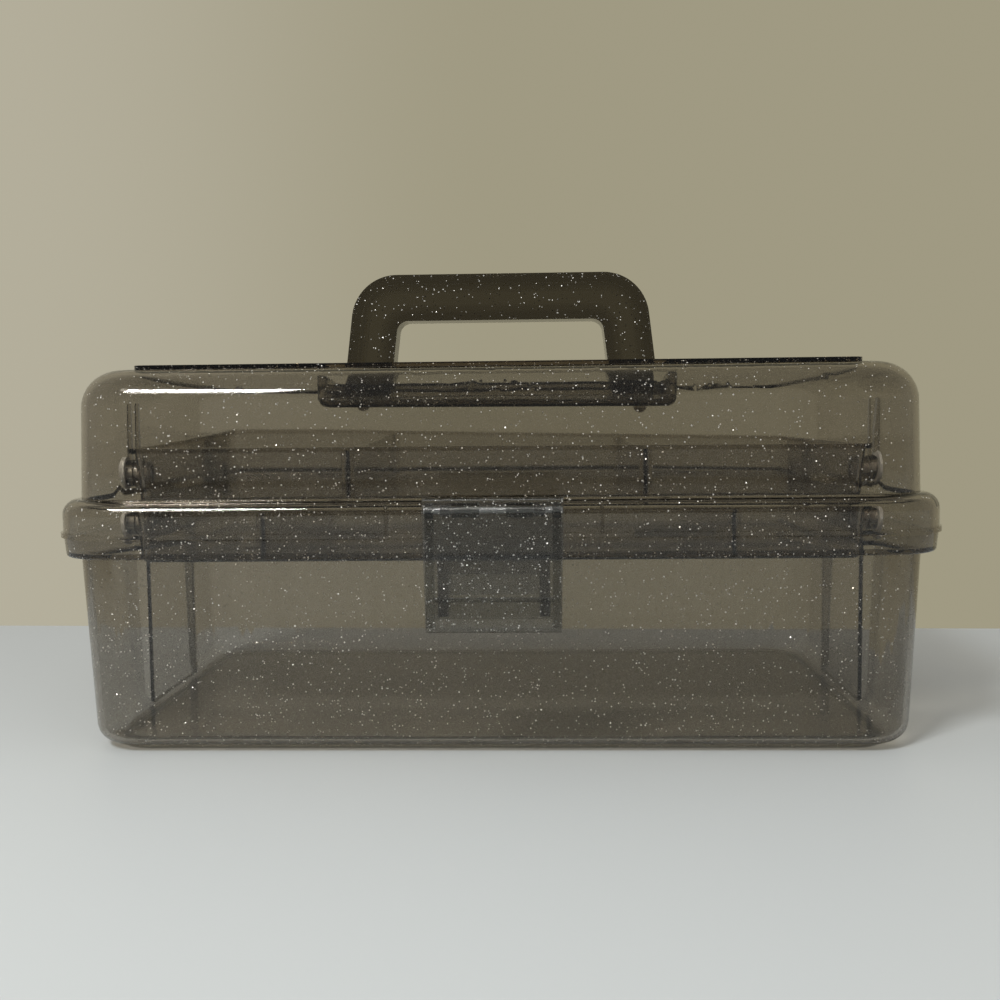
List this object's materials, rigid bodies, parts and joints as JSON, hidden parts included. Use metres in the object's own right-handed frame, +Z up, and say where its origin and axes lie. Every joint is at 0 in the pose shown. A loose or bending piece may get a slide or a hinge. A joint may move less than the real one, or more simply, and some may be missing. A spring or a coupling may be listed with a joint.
{
  "type": "folding tray storage case",
  "caption": "Smoked clear plastic storage case with folding trays that lift as the lid opens, a front latch and a swinging carry handle.",
  "frame": {"origin": "centre of the footprint on the table", "axes": "+X to the user's right, latch faces -Y, +Z up"},
  "size_m": [0.33, 0.2136, 0.187],
  "materials": {
    "smoke_plastic": "clear smoked grey moulding with fine silver glitter in it",
    "tray_plastic": "clear smoked grey moulding with fine silver glitter in it",
    "handle_plastic": "thick smoked grey moulding with glitter",
    "latch_plastic": "smoked grey moulding with glitter",
    "clear_grey_parts": "clear grey moulding",
    "pale_plastic": "paler, slightly milky moulding",
    "steel_pin": "plain drawn wire"
  },
  "bodies": {
    "base": {"base_box": "smoke_plastic", "hinge_pins": "steel_pin", "base_rivets": "clear_grey_parts"},
    "lid": {"lid_shell": "smoke_plastic", "lid_bracket_right": "smoke_plastic", "lid_bracket_left": "smoke_plastic", "lid_rivets": "clear_grey_parts", "handle_pins": "clear_grey_parts", "latch_pin": "steel_pin"},
    "handle": {"carry_handle": "handle_plastic"},
    "latch": {"front_latch": "latch_plastic"},
    "upper_tray": {"upper_tray": "tray_plastic", "upper_tray_rivets": "pale_plastic", "upper_divider_right": "tray_plastic", "upper_divider_left": "tray_plastic"},
    "lower_tray": {"lower_tray": "tray_plastic", "lower_tray_rivets": "pale_plastic", "lower_divider_right": "tray_plastic", "lower_divider_left": "tray_plastic"},
    "long_link_right": {"long_link_right": "clear_grey_parts"},
    "long_link_left": {"long_link_left": "clear_grey_parts"},
    "short_link_right": {"short_link_right": "clear_grey_parts"},
    "short_link_left": {"short_link_left": "clear_grey_parts"}
  },
  "joints": [
    {"name": "lid_hinge", "type": "hinge", "parent": "base", "child": "lid", "pos_m": [0, 0.1035, 0.081], "axis": [-1, 0, 0], "range_deg": [0, 100]},
    {"name": "latch_pivot", "type": "hinge", "parent": "lid", "child": "latch", "pos_m": [0, -0.1025, 0.0915], "axis": [-1, 0, 0], "range_deg": [0, 70]},
    {"name": "handle_pivot", "type": "hinge", "parent": "lid", "child": "handle", "pos_m": [0, 0, 0.137], "axis": [1, 0, 0], "range_deg": [0, 90]},
    {"name": "upper_tray_pivot", "type": "hinge", "parent": "lid", "child": "upper_tray", "pos_m": [0, 0.0465, 0.097], "axis": [-1, 0, 0], "range_deg": [-100, 0]},
    {"name": "lower_tray_pivot", "type": "hinge", "parent": "lid", "child": "lower_tray", "pos_m": [0, 0.07, 0.082], "axis": [-1, 0, 0], "range_deg": [-100, 0]},
    {"name": "long_link_right_pivot", "type": "hinge", "parent": "base", "child": "long_link_right", "pos_m": [0, 0.003, 0.087], "axis": [-1, 0, 0], "range_deg": [0, 100]},
    {"name": "short_link_right_pivot", "type": "hinge", "parent": "base", "child": "short_link_right", "pos_m": [0, -0.0205, 0.083], "axis": [-1, 0, 0], "range_deg": [0, 100]},
    {"name": "long_link_left_pivot", "type": "hinge", "parent": "base", "child": "long_link_left", "pos_m": [0, 0.003, 0.087], "axis": [-1, 0, 0], "range_deg": [0, 100]},
    {"name": "short_link_left_pivot", "type": "hinge", "parent": "base", "child": "short_link_left", "pos_m": [0, -0.0205, 0.083], "axis": [-1, 0, 0], "range_deg": [0, 100]}
  ],
  "couplings": [
    {"joint": "upper_tray_pivot", "follows": "lid_hinge", "ratio": -1},
    {"joint": "lower_tray_pivot", "follows": "lid_hinge", "ratio": -1},
    {"joint": "long_link_right_pivot", "follows": "lid_hinge", "ratio": 1},
    {"joint": "short_link_right_pivot", "follows": "lid_hinge", "ratio": 1},
    {"joint": "long_link_left_pivot", "follows": "lid_hinge", "ratio": 1},
    {"joint": "short_link_left_pivot", "follows": "lid_hinge", "ratio": 1}
  ]
}
